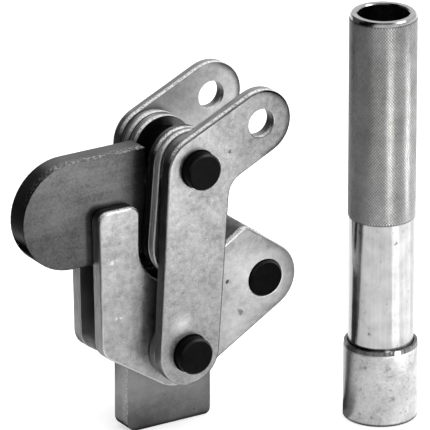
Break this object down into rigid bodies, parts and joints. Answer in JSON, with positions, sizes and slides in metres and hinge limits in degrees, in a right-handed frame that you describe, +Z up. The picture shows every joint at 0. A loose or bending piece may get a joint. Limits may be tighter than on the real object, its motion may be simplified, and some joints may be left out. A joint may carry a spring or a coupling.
{
  "type": "toggle clamp",
  "caption": "Heavy weld-on toggle clamp with stamped side plates, solid clamping arm, black pivot pins and a knurled tubular handle taken off beside it.",
  "frame": {"origin": "middle of the base bar's bottom face, the end that is welded down", "axes": "+X along the plates from the clamping arm's tip to the arm pivot, +Y along the pins to the rear, +Z up from the weld face"},
  "size_m": [0.1579, 0.0824, 0.17],
  "materials": {
    "plated_plate": "mottled zinc plate on stamped steel",
    "plated_bar": "dull zinc plate on flat bar",
    "black_pin": "black oxide",
    "bright_tube": "bright zinc plate, knurled grip"
  },
  "bodies": {
    "base": {"base_bar": "plated_bar", "base_plate_front": "plated_plate", "base_plate_rear": "plated_plate", "pivot_washer_front": "plated_plate", "pivot_washer_rear": "plated_plate", "base_pivot_pin": "black_pin", "arm_pivot_pin": "black_pin", "handle_tube": "bright_tube", "handle_collar": "bright_tube"},
    "handle": {"handle_plate_front": "plated_plate", "handle_plate_rear": "plated_plate", "link_pin_end_front": "black_pin", "link_pin_end_rear": "black_pin"},
    "arm": {"arm_plate": "plated_bar", "arm_stub": "plated_bar"},
    "link": {"inner_link_front": "plated_plate", "inner_link_rear": "plated_plate", "outer_link_front": "plated_plate", "outer_link_rear": "plated_plate", "link_pin_core": "black_pin", "link_arm_pin": "black_pin", "link_pin_sleeve": "black_pin", "link_spacer_front": "plated_plate", "link_spacer_rear": "plated_plate"}
  },
  "joints": [
    {"name": "handle_swing", "type": "hinge", "parent": "base", "child": "handle", "pos_m": [0, 0, 0.0359], "axis": [0, 1, 0], "range_deg": [0, 60]},
    {"name": "arm_swing", "type": "hinge", "parent": "base", "child": "arm", "pos_m": [0.0412, 0, 0.0556], "axis": [0, 1, 0], "range_deg": [0, 71.9]},
    {"name": "link_swing", "type": "hinge", "parent": "arm", "child": "link", "pos_m": [0.0026, 0, 0.0799], "axis": [0, 1, 0], "range_deg": [0, 76.48]}
  ],
  "couplings": [
    {"joint": "arm_swing", "follows": "handle_swing", "ratio": 1.1983},
    {"joint": "link_swing", "follows": "handle_swing", "ratio": 1.2747}
  ]
}
